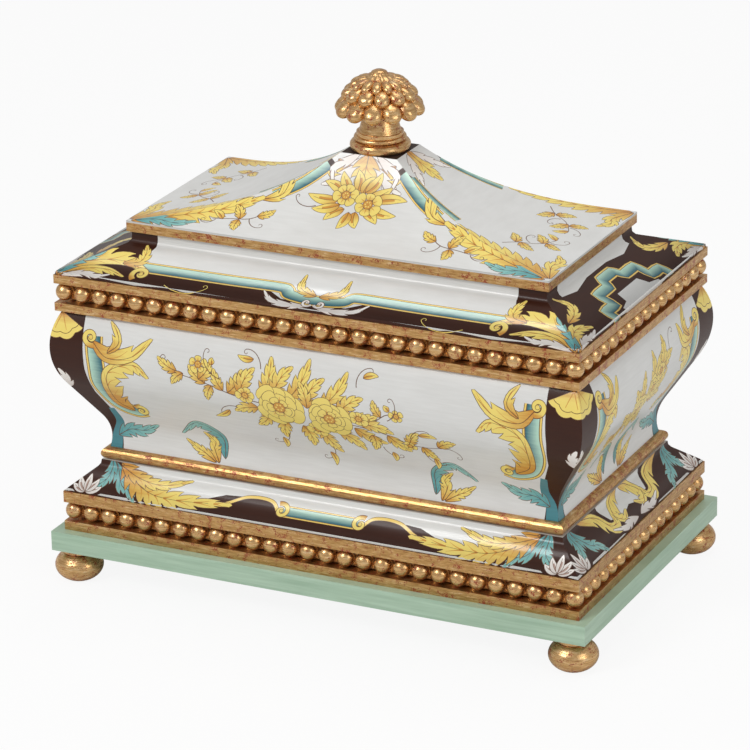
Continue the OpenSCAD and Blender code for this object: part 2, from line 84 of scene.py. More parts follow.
def bodyOutline(height, bulgeInset, bulgeDrop, bulgeR, waistInset, waistRise, waistR, beadH):
    # Hollow waist and round bulge, joined where both arcs have the same slope
    bulge = np.array([-bulgeInset - bulgeR, height - bulgeDrop])
    waist = np.array([waistR - waistInset, waistRise])
    gap = bulge - waist
    lean = math.degrees(math.acos(-(bulgeR + waistR) / np.hypot(*gap)) - math.atan2(gap[1], gap[0]))
    seat = math.degrees(math.asin((waistRise - beadH) / waistR))
    top = math.degrees(math.asin(bulgeDrop / bulgeR))
    return np.concatenate([arcPoints(waist, waistR, 180 + seat, 180 - lean, profilePoints["waist"]),
                           arcPoints(bulge, bulgeR, -lean, top, profilePoints["bulge"])]) + [0, bodyZ]


def coveOutline(base, outer, inner, edge, corner, r, height):
    # Upright edge, straight slope, then a small hollow that turns it upright
    slope = math.degrees(math.atan2(corner - edge, inner - outer))
    turn = 90 - slope
    centre = [r - inner, corner + r * math.tan(math.radians(turn / 2))]
    return np.concatenate([[[-outer, coveGap], [-outer, edge]],
                           arcPoints(centre, r, 180 + turn, 180, profilePoints["cove"]),
                           [[-inner, height - coveGap]]]) + [0, base]


def roofOutline(reach, rimInset, edge, rise, straight):
    # A slope that steepens towards the finial
    t = np.linspace(0, 1, profilePoints["roof"])
    z = edge + rise * (straight * t + (1 - straight) * t ** 3)
    return np.stack([-rimInset - reach * t, z], 1) + [0, roofZ]


class Skin:
    # A panel's surface: sheet u runs along the side, v climbs the profile
    def __init__(self, outline, side, flat=None, lineStep=2.4):
        self.side = side
        self.across = half[1] if side % 2 == 0 else half[0]
        self.along = half[0] if side % 2 == 0 else half[1]
        steps = np.hypot(*np.diff(outline, axis=0).T)
        self.v = np.concatenate([[0], np.cumsum(steps)])
        self.outline = outline
        tangent = np.gradient(outline, self.v, axis=0)
        tangent /= np.linalg.norm(tangent, axis=1)[:, None]
        self.normal = np.stack([tangent[:, 1], -tangent[:, 0]], 1)
        if flat is None:  # the ends are mitred
            self.limit = self.along + outline[:, 0]
        else:  # the ends run straight to the flat under the finial
            share = (outline[:, 0] - outline[0, 0]) / (outline[-1, 0] - outline[0, 0])
            edge = self.along + outline[0, 0]
            self.limit = edge + (flat - edge) * share
        self.height = self.v[-1]
        self.lineStep = lineStep  # mm between the level lines that let the film bend

    def at(self, v, table):
        return np.interp(v, self.v, table)

    def place(self, points, lift):
        v = points[:, 1]
        nh, nz = self.at(v, self.normal[:, 0]), self.at(v, self.normal[:, 1])
        reach = self.across + self.at(v, self.outline[:, 0]) + lift * nh
        limit = self.at(v, self.limit)
        u = points[:, 0] * (limit + lift * nh) / limit
        z = self.at(v, self.outline[:, 1]) + lift * nz
        return self.turned(u, reach, z), self.turned(0 * u, nh, nz)

    def turned(self, u, reach, z):
        x, y = [(u, -reach), (reach, u), (-u, reach), (-reach, -u)][self.side]
        return np.stack([x, y, z], 1)


def bezier(a, b, c, d, count=16):
    t = np.linspace(0, 1, count)[:, None]
    a, b, c, d = (np.array(p, float) for p in (a, b, c, d))
    return (1 - t) ** 3 * a + 3 * t * (1 - t) ** 2 * b + 3 * t * t * (1 - t) * c + t ** 3 * d


def through(*points, count=12):
    # Smooth curve through the given points
    p = [np.array(q, float) for q in points]
    p = [2 * p[0] - p[1]] + p + [2 * p[-1] - p[-2]]
    parts = []
    for i in range(1, len(p) - 2):
        m0, m1 = (p[i + 1] - p[i - 1]) / 2, (p[i + 2] - p[i]) / 2
        parts.append(bezier(p[i], p[i] + m0 / 3, p[i + 1] - m1 / 3, p[i + 1], count)[:-1])
    return np.concatenate(parts + [[p[-2]]])


def bowed(a, b, bend, count, handles=(0.33, 0.66)):
    # From a to b, bowed to one side by a share of the length
    a, b = np.array(a, float), np.array(b, float)
    side = np.array([-(b - a)[1], (b - a)[0]]) * bend
    return bezier(a, a + (b - a) * handles[0] + side, a + (b - a) * handles[1] + side, b, count)


def sideways(path):
    tangent = np.gradient(path, axis=0)
    tangent /= np.maximum(np.linalg.norm(tangent, axis=1), tiny)[:, None]
    return np.stack([-tangent[:, 1], tangent[:, 0]], 1)


def banded(path, widths):
    off = sideways(path) * widths[:, None] / 2
    return np.concatenate([path + off, (path - off)[::-1]])


def ribbon(path, widths):
    # A band whose width runs through the given widths
    return banded(path, np.interp(np.linspace(0, 1, len(path)), np.linspace(0, 1, len(widths)), widths))


def grown(points, by, sharpest=0.9):
    # The outline moved outwards; sharpest holds back pointed corners
    area = np.sum(points[:, 0] * np.roll(points[:, 1], -1) - np.roll(points[:, 0], -1) * points[:, 1])
    ahead, back = np.roll(points, -1, 0) - points, points - np.roll(points, 1, 0)
    ahead /= np.maximum(np.linalg.norm(ahead, axis=1), tiny)[:, None]
    back /= np.maximum(np.linalg.norm(back, axis=1), tiny)[:, None]
    out = np.stack([ahead[:, 1] + back[:, 1], -ahead[:, 0] - back[:, 0]], 1) * np.sign(area)
    length = np.linalg.norm(out, axis=1)
    return points + out / np.maximum(length, sharpest)[:, None] * by


def polar(centre, radius, angle):
    return np.array(centre) + np.stack([radius * np.cos(angle), radius * np.sin(angle)], 1)


class Sheet:
    # Shapes in the order they are painted: a later one covers the earlier ones
    def __init__(self):
        self.shapes = []
        self.sign = 1

    def add(self, points, paint, fade=None):
        mirror = np.array([self.sign, 1])
        if fade is not None and not isinstance(fade, float):
            fade = np.array(fade, float) * mirror
        self.shapes.append((np.array(points, float) * mirror, paint, fade))

    def outlined(self, points, paint, fade=None, edge=0.4):
        self.add(grown(points, edge), "line")
        self.add(points, paint, fade)

    def line(self, path, widths=(0.5, 0.25), paint="line"):
        self.add(ribbon(path, widths), paint)

    def both(self, draw, *values):
        for self.sign in (1, -1):
            draw(self, *values)
        self.sign = 1


shadeOf = {"leaf": "amber", "teal": "tealDeep", "white": "greige"}
fineEdge = 0.3  # mm, contour of small motifs
leafShape = {"fullness": 0.7, "smoothBelow": 0.65, "smoothFrom": 0.03, "lastPoint": 0.985, "lastWidth": 0.965,
             "lobe": ((0.1, 0.5), (0.35, 0.74), (0.65, 0.92), (1.0, 1.06), (1.34, 1.2), (1.2, 0.9), (1.1, 0.6)),
             "veinStart": 0.05, "veinEnd": 0.95, "veinReach": 0.36, "veinBow": 0.3, "veinWidths": (0.06, 0.15),
             "midribEnd": 0.9}


def fullness(t):
    return math.sin(math.pi * t ** leafShape["fullness"]) ** leafShape["fullness"]


def lobedOutline(path, width, lobes, near=1.0, far=1.0):
    # A leaf round a curved midrib, each lobe leaning towards the tip
    s = np.linspace(0, 1, len(path))
    normal = sideways(path)
    last = leafShape["lastPoint"]

    def spot(t, w):
        t = min(max(t, 0), 1)
        return [np.interp(t, s, path[:, k]) + w * np.interp(t, s, normal[:, k]) for k in (0, 1)]

    def reach(t):
        return width * (fullness(min(t, 1)) if 0 < t < 1 else 0)

    sides = []
    for sign, share in ((1, near), (-1, far)):
        edge = []
        if share < leafShape["smoothBelow"]:  # the smooth back of a curling leaf
            for at in np.linspace(leafShape["smoothFrom"], last, 4 * lobes):
                edge.append(spot(at, sign * share * reach(at) / 2))
            sides.append(edge)
            continue
        for i in range(lobes):
            for t, w in leafShape["lobe"]:
                at = (i + t) / lobes
                edge.append(spot(min(at, last), sign * share * reach(min(at, leafShape["lastWidth"])) * w / 2))
        sides.append(edge[:-2])
    return np.array([path[0]] + sides[0] + [path[-1]] + sides[1][::-1])


def leaf(sheet, path, width, lobes=5, paint="leaf", near=1.0, far=1.0):
    sheet.outlined(lobedOutline(path, width, lobes, near, far), paint, (path[0], path[-1]))
    if paint == "white":
        return
    s = np.linspace(0, 1, len(path))
    normal = sideways(path)
    root, end = leafShape["veinWidths"]
    for i in range(lobes):
        t0 = (i + leafShape["veinStart"]) / lobes
        t1 = min((i + leafShape["veinEnd"]) / lobes, leafShape["veinEnd"])
        for sign, share in ((1, near), (-1, far)):
            w = width * fullness(t1) * share * leafShape["veinReach"]
            bow = sign * w * leafShape["veinBow"]
            away = [np.interp(t1, s, normal[:, k]) for k in (0, 1)]
            a = [np.interp(t0, s, path[:, k]) for k in (0, 1)]
            b = [np.interp(t1, s, path[:, k]) + sign * w * away[k] for k in (0, 1)]
            c = [np.interp((t0 + t1) / 2, s, path[:, k]) + bow * away[k] for k in (0, 1)]
            sheet.line(bezier(a, c, c, b, 6), (root * width, end), shadeOf[paint])
    sheet.line(path[: int(len(path) * leafShape["midribEnd"])], (0.5, 0.2))


def plainLeaf(sheet, a, b, width, bend=0.15, paint="leaf"):
    # A leaf with a smooth edge, one half in its deeper shade
    path = bowed(a, b, bend, 12)
    t = np.linspace(0, 1, len(path))
    widths = width * np.sin(np.pi * t ** 0.8) ** 0.8
    off = sideways(path) * widths[:, None] / 2
    sheet.outlined(banded(path, widths), paint, (path[0], path[-1]), fineEdge)
    sheet.add(np.concatenate([path[:8], (path - off * 0.5)[:8][::-1]]), shadeOf[paint])
    sheet.line(path[:10], (0.35, 0.2))


def toothLeaf(sheet, a, b, width, bend=0.15, lobes=4):
    leaf(sheet, bowed(a, b, bend, 14), width, lobes)


flower = {"points": 14, "petalAt": 0.62, "petalHalf": (0.3, 0.36), "flare": 0.25, "size": 0.92, "vary": 0.12,
          "crease": (0.35, 0.62), "stamens": 6, "stamenAt": 0.55, "stamenR": 0.26, "stamenShrink": 0.7}


def blossom(sheet, centre, radius, petals=6, turn=0.0, eye=0.3):
    centre = np.array(centre, float)
    t = np.linspace(0, 2 * math.pi, flower["points"], endpoint=False)
    circle = np.stack([np.cos(t), np.sin(t)], 1)
    halfLong, halfWide = flower["petalHalf"]
    for i in range(petals):
        angle = turn + 2 * math.pi * i / petals
        x = radius * flower["petalAt"] + radius * halfLong * np.cos(t)
        y = radius * halfWide * np.sin(t) * (1 + flower["flare"] * np.cos(t))
        points = np.stack([x * math.cos(angle) - y * math.sin(angle),
                           x * math.sin(angle) + y * math.cos(angle)], 1) + centre
        size = flower["size"] + flower["vary"] * math.sin(2.4 * i + 5 * turn)  # no two petals alike
        tip = centre + radius * np.array([math.cos(angle), math.sin(angle)])
        sheet.outlined(centre + (points - centre) * size, "leaf", (centre, tip), fineEdge)
        crease = np.stack([centre + (tip - centre) * share for share in flower["crease"]])
        sheet.line(crease, (0.7, 0.2), "amber")
    sheet.outlined(centre + radius * eye * circle, "amber", None, fineEdge)
    for i in range(flower["stamens"]):
        aim = i * math.pi / 3
        spot = centre + radius * eye * flower["stamenAt"] * np.array([math.cos(aim), math.sin(aim)])
        sheet.add(spot + flower["stamenR"] * radius * eye * circle * flower["stamenShrink"], "leaf")


def peony(sheet, centre, radius, turn=0.0):
    blossom(sheet, centre, radius, 9, turn)
    blossom(sheet, centre, radius * 0.76, 7, turn + 0.3)
    blossom(sheet, centre, radius * 0.5, 5, turn + 0.6, 0.42)


def tendril(sheet, a, b, bend=0.3, curl=2.0, paint="line"):
    # A thin stem that ends in a curl
    path = bowed(a, b, bend, 14, (0.3, 0.8))
    t = np.linspace(0, 1.5 * math.pi, 12)[:, None]
    aim = math.atan2(*(path[-1] - path[-2])[::-1])
    turn = -np.sign(bend) * t
    spiral = curl * (1 - t / (2 * math.pi)) * np.concatenate([np.sin(turn + aim), -np.cos(turn + aim)], 1)
    spiral = path[-1] + (spiral - spiral[0]) * -np.sign(bend)
    sheet.line(np.concatenate([path, spiral[1:]]), (0.55, 0.3), paint)


def volute(sheet, centre, radius, start, turns, width, paint="leaf"):
    # A scroll that winds in to its eye, thick outside and thin inside
    t = np.linspace(0, 1, int(20 * turns) + 6)
    angle = np.radians(start) + 2 * math.pi * turns * t
    path = polar(centre, radius * (1 - 0.82 * t ** 0.85), angle)
    widths = width * (1 - 0.55 * t)
    for extra, colour in ((0.8, "line"), (0, paint)):
        sheet.add(banded(path, widths + extra), colour, (path[0], np.array(centre)))
    ring = np.linspace(0, 2 * math.pi, 12, endpoint=False)
    sheet.outlined(polar(centre, 0.42 * width, ring), paint, None, fineEdge)


def strap(sheet, path, width, washes=9):
    # Teal band between two gold lines, deep on one side and pale on the other
    for share, paint in ((1.0, "line"), (0.94, "gold"), (0.76, "line")):
        sheet.add(ribbon(path, (width * share,)), paint)
    off = sideways(path) * width
    for i in range(washes):
        low, high = -0.34 + 0.68 * i / washes, -0.34 + 0.68 * (i + 1) / washes
        sheet.add(np.concatenate([path + off * high, (path + off * low)[::-1]]), "wash", i / (washes - 1))


def fan(sheet, centre, aim, spread, count, radius, width, paint="leaf"):
    # Leaves from one point, the middle one on top
    middle = (count - 1) / 2
    for i in sorted(range(count), key=lambda k: -abs(k - middle)):
        share = i / (count - 1) - 0.5
        angle = math.radians(aim + spread * share)
        reach = radius * (1 - 0.3 * abs(share))
        tip = np.array(centre) + reach * np.array([math.cos(angle), math.sin(angle)])
        plainLeaf(sheet, centre, tip, width, 0.12 * np.sign(i - middle), paint)


def shell(sheet, centre, aim, radius, ribs=5, spread=62):
    for grow in (1.28, 1.0):  # a rim behind and the shell in front
        t = np.linspace(-1, 1, 8 * ribs + 1)
        r = radius * grow * (0.9 + 0.1 * np.abs(np.sin(t * math.pi * ribs / 2)))
        rim = polar(centre, r, np.radians(aim + spread * t))
        sheet.outlined(np.concatenate([[centre], rim]), "leaf", (centre, rim[len(rim) // 2]))
    for i in range(ribs - 1):
        angle = math.radians(aim + spread * (2 * (i + 1) / ribs - 1))
        tip = np.array(centre) + 0.85 * radius * np.array([math.cos(angle), math.sin(angle)])
        sheet.line(np.array([centre, tip]), (0.8, 0.3), "amber")


# The eight designs, in millimetres on the sheet from the middle of its lower edge
def roofLong(sheet, skin):
    top, edge = skin.height, skin.limit[0]

    def hip(s):
        s.add([(edge * 0.2, top), (17, top - 9), (27, top - 13), (30, top), (30, top + 5), (0, top + 5)],
              "umber")
        strap(s, through((23, top - 8), (37, top - 21), (52, top - 31)), 8)
        leaf(s, through((18, top - 4), (13, top - 9), (17, top - 15), (23, top - 12)), 7, 4)
        leaf(s, through((58, 31), (47, 36), (45, 47), (51, 41)), 7, 4)
        leaf(s, through((edge - 3, 1), (edge - 32, 12), (edge - 52, 20), (edge - 76, 33)), 16, 9)
        leaf(s, through((edge - 3, 1), (edge - 14, 13), (edge - 12, 18), (edge - 4, 8)), 9, 5)
        leaf(s, through((edge - 5, 2), (edge - 18, 5), (edge - 30, 4), (edge - 42, 8)), 8, 5, "teal")
        s.line(through((52, 22), (60, 16), (72, 14), (82, 12)), (0.6, 0.4))
        toothLeaf(s, (66, 15), (72, 25), 6)
        toothLeaf(s, (66, 14), (65, 5), 6)
        toothLeaf(s, (56, 19), (47, 25), 5.5)
        plainLeaf(s, (76, 13), (84, 19), 4)
        tendril(s, (60, 16), (51, 10), 0.3, 2)
        tendril(s, (80, 12), (88, 9), -0.3, 2)

    def underFinial(s):
        leaf(s, through((3, top - 1), (8, top - 9), (17, top - 17), (25, top - 20)), 7, 4, "white")
        leaf(s, through((5, top + 1), (13, top - 5), (20, top - 10), (18, top - 20)), 5, 3, "white")

    sheet.both(hip)
    sheet.both(underFinial)
    leaf(sheet, through((0, top + 1), (0, top - 8), (0, top - 15), (0, top - 22)), 15, 4)
    tips = ((-30, 2), (-22, 11), (-12, 18), (-3, 20), (8, 17), (20, 12), (31, 5), (27, -5), (17, -12),
            (6, -17), (-5, -19), (-15, -14), (-25, -7), (12, 20))
    for i, (x, y) in enumerate(tips):
        plainLeaf(sheet, (x * 0.35 - 1, 37 + y * 0.35), (x - 1, 37 + y), 6.2, 0.12 * (-1) ** i)
    blossom(sheet, (-8, 41), 8.5, 6, 0.2)
    blossom(sheet, (7, 37), 9.5, 6, 0.5)
    tendril(sheet, (-24, 32), (-38, 36), 0.3, 1.5)


def roofShort(sheet, skin):
    top, edge = skin.height, skin.limit[0]

    def hip(s):
        s.add([(edge * 0.35, top), (18, top - 16), (26, top - 20), (30, top), (0, top + 5)], "umber")
        strap(s, through((19, top - 14), (25, top - 32), (31, top - 52)), 6)
        leaf(s, through((edge - 3, 2), (edge - 13, 24), (edge - 20, 46), (edge - 29, 70)), 15, 9)
        leaf(s, through((edge - 3, 1), (edge - 20, 7), (edge - 28, 5), (edge - 37, 10)), 9, 5)
        s.line(through((34, 42), (27, 36), (20, 26), (10, 20), (4, 20)), (0.6, 0.4))
        toothLeaf(s, (27, 37), (17, 43), 6)
        toothLeaf(s, (25, 34), (31, 24), 6)
        toothLeaf(s, (18, 24), (8, 31), 6)
        toothLeaf(s, (16, 22), (20, 12), 5.5)
        plainLeaf(s, (9, 20), (3, 27), 4)
        tendril(s, (14, 21), (7, 12), 0.3, 2.2)
        tendril(s, (22, 30), (12, 34), -0.3, 2)

    def underFinial(s):
        leaf(s, through((3, top - 1), (8, top - 9), (13, top - 16), (18, top - 22)), 6, 4, "white")

    sheet.both(hip)
    leaf(sheet, through((0, top + 1), (0, top - 10), (0, top - 18), (0, top - 26)), 13, 4)
    sheet.both(underFinial)


def lidEnds(s, edge):
    s.add([(edge - 52, -1), (edge - 50, 14), (edge - 47, 24), (edge - 50, 34), (edge - 50, 46), (edge + 5, 46),
           (edge + 5, -1)], "umber")
    leaf(s, through((edge - 1, 0), (edge - 16, 15), (edge - 36, 19), (edge - 54, 13)), 15, 6, near=0.6, far=1.3)
    leaf(s, through((edge - 3, 0), (edge - 16, 8), (edge - 30, 10), (edge - 43, 6)), 8, 5, near=1.2, far=0.6)
    volute(s, (edge - 52, 10), 6, -60, 1.2, 3.2)
    leaf(s, through((edge - 37, 17), (edge - 46, 20), (edge - 47, 27), (edge - 44, 35)), 8, 5)
    leaf(s, through((edge - 2, 1), (edge - 8, 14), (edge - 17, 22), (edge - 22, 30)), 10, 5, "teal")
    leaf(s, through((edge - 4, 0), (edge - 18, 4), (edge - 26, 3), (edge - 34, 6)), 5, 4, "white")


def lidLong(sheet, skin):
    edge = skin.limit[0]
    sheet.add([(-edge, -1), (edge, -1), (edge - 40, 14), (34, 15), (20, 7), (-20, 7), (-34, 15),
               (40 - edge, 14)], "umber")
    path = through((-edge + 38, 16), (-60, 16), (-26, 16.5), (-20, 15), (-16, 11.5), (0, 9.5), (16, 11.5),
                   (20, 15), (26, 16.5), (60, 16), (edge - 38, 16))
    strap(sheet, path, 9.5)
    sheet.both(lidEnds, edge)

    def oneHalf(s):
        leaf(s, through((1, 13), (7, 15), (13, 19), (14, 30)), 6, 4)
        leaf(s, through((2, 4), (14, 3), (26, 5), (33, 12)), 4.5, 4, "white")
        volute(s, (4, 7), 3.4, 200, 1.1, 1.6, "white")
        tendril(s, (edge - 70, 4), (edge - 96, 6), 0.25, 2, "leaf")

    sheet.both(oneHalf)


def lidShort(sheet, skin):
    edge = skin.limit[0]
    sheet.add([(-edge, -1), (edge, -1), (edge, 46), (edge - 50, 46), (edge - 46, 33), (34, 30), (14, 33),
               (-14, 33), (-34, 30), (46 - edge, 33), (50 - edge, 46), (-edge, 46)], "umber")
    path = np.array([(-40, -2), (-40, 9), (-27, 9), (-27, 20), (-11, 20), (-8, 26), (8, 26), (11, 20), (27, 20),
                     (27, 9), (40, 9), (40, -2)], float)
    sheet.add([(-26, -2), (-26, 4), (-17, 6), (-14, 13), (14, 13), (17, 6), (26, 4), (26, -2)], "ground")
    run = np.linspace(0, 1, 5)[:-1, None]
    strap(sheet, np.concatenate([path[i] + (path[i + 1] - path[i]) * run for i in range(len(path) - 1)]), 9.5)

    def oneHalf(s):
        leaf(s, through((edge - 1, 0), (edge - 10, 9), (edge - 20, 12), (edge - 32, 7)), 11, 6)
        leaf(s, through((edge - 2, 1), (edge - 8, 14), (edge - 16, 22), (edge - 24, 31)), 9, 5, "teal")
        leaf(s, through((edge - 22, 18), (edge - 34, 20), (edge - 42, 26), (edge - 38, 36)), 7, 5)
        leaf(s, through((edge - 4, 0), (edge - 14, 4), (edge - 22, 3), (edge - 30, 5)), 5, 4, "white")

    sheet.both(oneHalf)


def bodyCorner(s, c, reach):
    # Dark corner with its shell and bud, teal strap, scroll and feathered leaf; c is the bulge's half length
    s.add([(c - 22, 110), (c - 22, 62), (c - 24, 44), (c - 31, 26), (c - 33, -2), (c + 9, -2), (c + 9, 110)],
          "umber")
    s.add(ribbon(through((c - 30, 30), (c - 32, 18), (c - 29, 8), (c - 28, -2)), (4, 8)), "tealDeep")
    strap(s, through((c - 29, 84), (c - 30, 66), (c - 30, 50), (c - 36, 36), (c - 46, 31), (c - 53, 33)), 12)
    leaf(s, through((c - 46, 31), (c - 36, 40), (c - 37, 62), (c - 44 - reach * 0.5, 70), (c - 44 - reach, 63)),
         12, 8, near=1.5, far=0.55)
    volute(s, (c - 51, 32), 4.5, 30, 1.3, 2.6)
    leaf(s, through((c - 28, 81), (c - 38, 72), (c - 46 - reach * 0.4, 75), (c - 47 - reach, 87)), 10, 3,
         near=0.62, far=1.4)
    leaf(s, through((c - 38, 75), (c - 45, 81), (c - 44, 88), (c - 39, 94)), 6, 2, near=0.6, far=1.3)
    volute(s, (c - 27, 83), 5, 250, 1.3, 3)
    leaf(s, through((c - 30, 8), (c - 38, 13), (c - 48, 14), (c - 58, 20)), 9, 5, "teal")
    shell(s, (c - 7, 95), -90, 12.5, 3)
    leaf(s, through((c - 7, 45), (c - 8, 50), (c - 7, 55), (c - 4, 60)), 7, 3, "white")


def waistLeaves(s, leg, tip):
    leaf(s, through((leg, 4), (leg + 1, 20), (leg + 14, 29), (tip, 17)), 7, 7, "teal", near=0.6, far=1.5)
    leaf(s, through((leg + 4, 1), (leg + 7, 9), (leg + 6, 14), (leg + 12, 21)), 7, 4)
    leaf(s, through((leg + 6, 1), (leg + 14, 6), (leg + 18, 8), (leg + 25, 13)), 6, 4)


def bodyLong(sheet, skin):
    sheet.both(bodyCorner, skin.limit.max(), 20)
    sheet.both(waistLeaves, 67, 94)
    for stem in (((-20, 57), (-45, 60), (-66, 66), (-86, 70)), ((10, 54), (35, 56), (48, 64), (56, 63)),
                 ((10, 54), (40, 50), (62, 42), (82, 44))):
        sheet.line(through(*stem), (0.7, 0.4))
    tendril(sheet, (-84, 70), (-94, 78), 0.3, 2)
    tendril(sheet, (78, 44), (89, 37), 0.3, 2)
    spots = ((-84, 71, -96, 78), (-80, 70, -88, 62), (-66, 66, -76, 76), (-62, 65, -66, 54), (-55, 63, -60, 76),
             (-52, 62, -42, 78), (-44, 62, -34, 80), (-30, 64, -24, 88), (-22, 66, -10, 84), (-14, 64, 0, 90),
             (-4, 62, 10, 80), (6, 62, 24, 86), (18, 60, 34, 72), (24, 58, 42, 62), (30, 54, 50, 50),
             (26, 50, 44, 40), (14, 44, 28, 30), (4, 42, 12, 24), (-8, 44, -6, 26), (-18, 46, -22, 30),
             (-28, 50, -38, 38), (-34, 54, -50, 48), (58, 42, 66, 54), (66, 42, 74, 32), (76, 44, 88, 50),
             (46, 48, 58, 36), (36, 46, 34, 32), (-2, 60, -6, 76), (44, 62, 40, 72), (-70, 68, -62, 80))
    for i, (x0, y0, x1, y1) in enumerate(spots):
        span = math.hypot(x1 - x0, y1 - y0)
        toothLeaf(sheet, (x0, y0), (x1, y1), min(0.48 * span, 9), 0.12 * (-1) ** i, 4)
    blossom(sheet, (-70, 77), 6.5, 5, 0.3)
    blossom(sheet, (-41, 62), 6.5, 6, 0.1)
    blossom(sheet, (30, 58), 6.5, 6, 0.4)
    blossom(sheet, (1, 43), 7.5, 6, 0.2)
    blossom(sheet, (54, 64), 5, 5, 0.5)
    blossom(sheet, (58, 41), 4.5, 5, 0.9)
    peony(sheet, (-20, 57), 17, 0.2)
    peony(sheet, (11, 54), 16, 0.5)
    curls = ((-56, 70, -66, 86), (-30, 80, -40, 90), (30, 78, 38, 90), (48, 60, 52, 74), (60, 48, 72, 56),
             (40, 36, 50, 28), (-20, 34, -30, 24), (-48, 52, -60, 44), (6, 28, 0, 16), (66, 38, 76, 27))
    for i, (x0, y0, x1, y1) in enumerate(curls):
        tendril(sheet, (x0, y0), (x1, y1), 0.3 * (-1) ** i, 1.8)
        plainLeaf(sheet, ((x0 + x1) / 2, (y0 + y1) / 2), (x1 + 5 * (-1) ** i, y1 - 4), 3.6, 0.15)


def bodyShort(sheet, skin):
    sheet.both(bodyCorner, skin.limit.max(), 7)
    sheet.both(waistLeaves, 8, 32)
    sheet.line(through((-34, 30), (-12, 48), (10, 60), (30, 78)), (0.7, 0.4))
    spots = ((-20, 42, -36, 36), (-24, 40, -30, 26), (-12, 48, -28, 56), (-10, 50, -18, 68), (-4, 54, -6, 76),
             (4, 58, 6, 84), (8, 58, 20, 80), (10, 56, 28, 66), (8, 52, 26, 50), (2, 46, 14, 34),
             (-6, 44, -4, 28), (-14, 44, -20, 30), (20, 66, 34, 76), (18, 66, 22, 88), (-26, 38, -38, 44))
    for i, (x0, y0, x1, y1) in enumerate(spots):
        span = math.hypot(x1 - x0, y1 - y0)
        toothLeaf(sheet, (x0, y0), (x1, y1), min(0.48 * span, 8), 0.12 * (-1) ** i, 4)
    blossom(sheet, (-20, 42), 6, 5, 0.3)
    blossom(sheet, (18, 68), 6, 6, 0.6)
    peony(sheet, (-5, 50), 13, 0.2)
    peony(sheet, (9, 60), 10, 0.5)
    tendril(sheet, (30, 78), (36, 88), 0.3, 2)


def footEnds(s, edge):
    s.add([(edge - 42, -1), (edge - 36, 14), (edge - 30, 28), (edge + 4, 28), (edge + 4, -1)], "umber")
    leaf(s, through((edge - 26, 24), (edge - 34, 10), (edge - 40, 7), (edge - 46, -1)), 8, 5, "teal")
    leaf(s, through((edge - 24, 26), (edge - 24, 14), (edge - 20, 8), (edge - 14, 3)), 7, 5, "teal")
    fan(s, (edge - 13, 2), 90, 130, 5, 12, 4.2, "white")


def footLong(sheet, skin):
    edge = skin.limit[0]
    sheet.add([(-edge, -1), (edge, -1), (edge, 28), (edge - 30, 28), (110, 9), (84, 6), (62, 15), (34, 17),
               (28, 12), (14, 12), (0, 12), (-14, 12), (-28, 12), (-34, 17), (-62, 15), (-84, 6), (-110, 9),
               (30 - edge, 28), (-edge, 28)], "umber")
    strap(sheet, through((-24, 11), (0, 11), (24, 11)), 8)

    def oneHalf(s):
        wave = through((26, 9), (33, 16), (48, 16), (62, 9), (80, 6))
        s.line(wave, (2.6, 2.2), "line")
        s.line(wave, (2.0, 1.6), "gold")
        volute(s, (25, 11), 5, 60, 1.2, 2.6)
        footEnds(s, edge)
        leaf(s, through((edge - 30, 24), (edge - 48, 10), (edge - 68, 6), (56, 9)), 15, 10)
        leaf(s, through((edge - 30, 22), (edge - 44, 16), (edge - 60, 14), (edge - 78, 20)), 8, 7)

    sheet.both(oneHalf)


def footShort(sheet, skin):
    edge = skin.limit[0]
    sheet.add([(-edge, -1), (edge, -1), (edge, 28), (34, 28), (26, 12), (12, 9), (0, 12), (-12, 9), (-26, 12),
               (-34, 28), (-edge, 28)], "umber")

    def oneHalf(s):
        footEnds(s, edge)
        leaf(s, through((1, 25), (12, 22), (20, 13), (14, 7), (6, 11)), 8, 5, near=0.6, far=1.5)
        leaf(s, through((edge - 34, 26), (38, 20), (31, 10), (24, 9), (22, 15)), 8, 5, near=1.5, far=0.6)
        leaf(s, through((2, 3), (12, 4), (20, 3), (32, 7)), 5, 4, "white")

    sheet.both(oneHalf)


def linear(hexValue):
    parts = [int(hexValue[i:i + 2], 16) / 255 for i in (1, 3, 5)]
    return [c / 12.92 if c <= 0.04045 else ((c + 0.055) / 1.055) ** 2.4 for c in parts] + [1]


def addNode(tree, kind, settings=None, **inputs):
    # Inputs go by name, or by number as i0, i1 and so on
    node = tree.nodes.new(kind)
    for key, value in (settings or {}).items():
        setattr(node, key, value)
    for key, value in inputs.items():
        numbered = key[0] == "i" and key[1:].isdigit()
        socket = node.inputs[int(key[1:])] if numbered else node.inputs[key.replace("_", " ")]
        if isinstance(value, bpy.types.NodeSocket):
            tree.links.new(value, socket)
        else:
            socket.default_value = value
    return node


def newMaterial(name):
    material = bpy.data.materials.new(name)
    material.use_nodes = True
    tree = material.node_tree
    shader = tree.nodes["Principled BSDF"]
    place = addNode(tree, "ShaderNodeTexCoord").outputs["Object"]
    return material, tree, shader, place


def setShader(shader, **values):
    for key, value in values.items():
        shader.inputs[key.replace("_", " ")].default_value = value


def noise(tree, place, perMetre, **settings):
    # perMetre is one number, or three for a pattern drawn out along some axes
    if isinstance(perMetre, tuple):
        place = addNode(tree, "ShaderNodeMapping", None, Vector=place, Scale=perMetre).outputs[0]
        perMetre = 1.0
    return addNode(tree, "ShaderNodeTexNoise", None, Vector=place, Scale=perMetre, **settings).outputs["Fac"]


def maths(tree, operation, *values):
    inputs = {f"i{k}": value for k, value in enumerate(values)}
    return addNode(tree, "ShaderNodeMath", {"operation": operation}, **inputs).outputs[0]


def spanned(tree, value, **limits):
    return addNode(tree, "ShaderNodeMapRange", None, Value=value, **limits).outputs[0]


